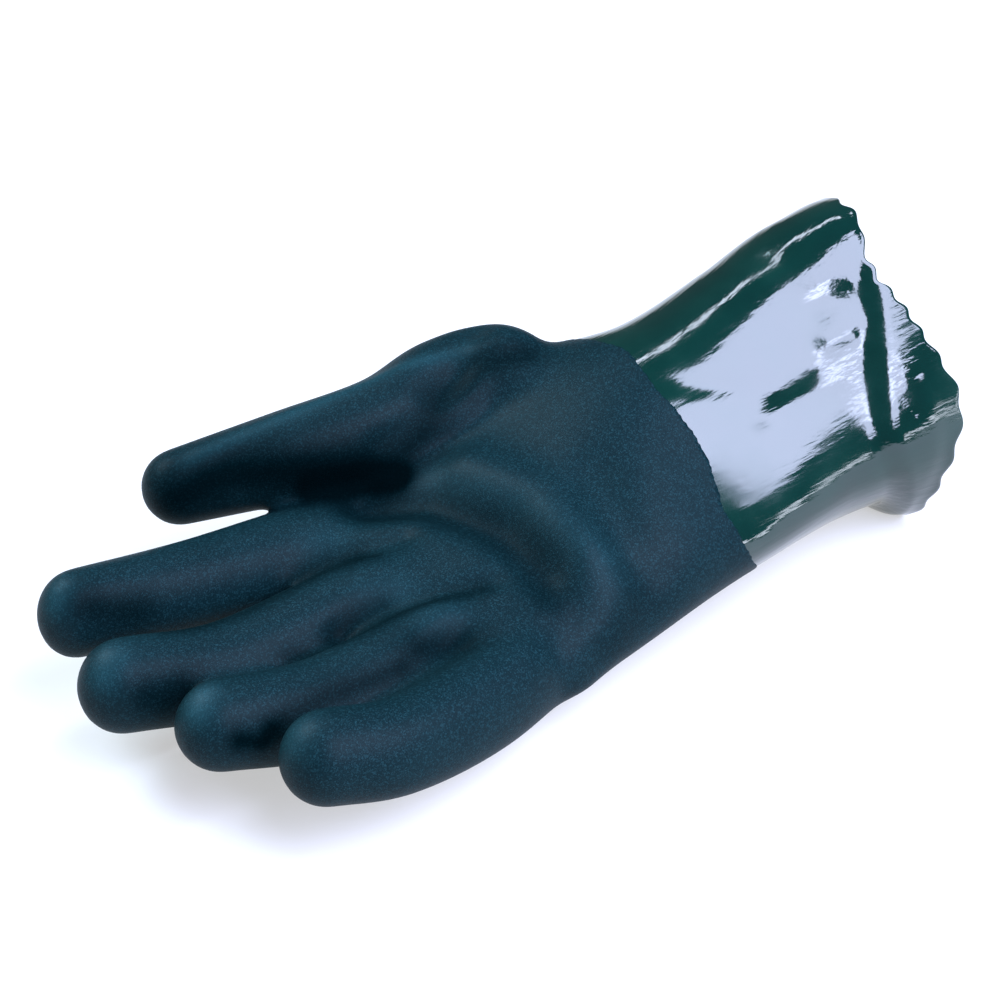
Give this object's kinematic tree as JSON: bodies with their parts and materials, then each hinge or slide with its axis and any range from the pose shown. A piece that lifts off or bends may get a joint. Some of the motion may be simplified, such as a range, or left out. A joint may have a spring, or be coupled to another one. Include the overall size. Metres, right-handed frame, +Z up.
{
  "type": "work glove",
  "caption": "PVC coated gauntlet work glove for the right hand, lying palm up, with a sandy gripping hand, a smooth glossy cuff and a scalloped hem.",
  "frame": {"origin": "on the floor under the middle of the glove's box", "axes": "+X from the fingertips to the cuff's hem, +Y towards the thumb, +Z up, out of the palm"},
  "size_m": [0.2732, 0.1432, 0.0983],
  "materials": {
    "sandy_pvc": "fine sandy PVC, dark teal blue, matte with a soft sheen",
    "smooth_pvc": "smooth glossy PVC, deep green, with faint streaks along its length"
  },
  "bodies": {
    "root": {"sandy_hand": "sandy_pvc", "smooth_cuff": "smooth_pvc"}
  },
  "joints": []
}
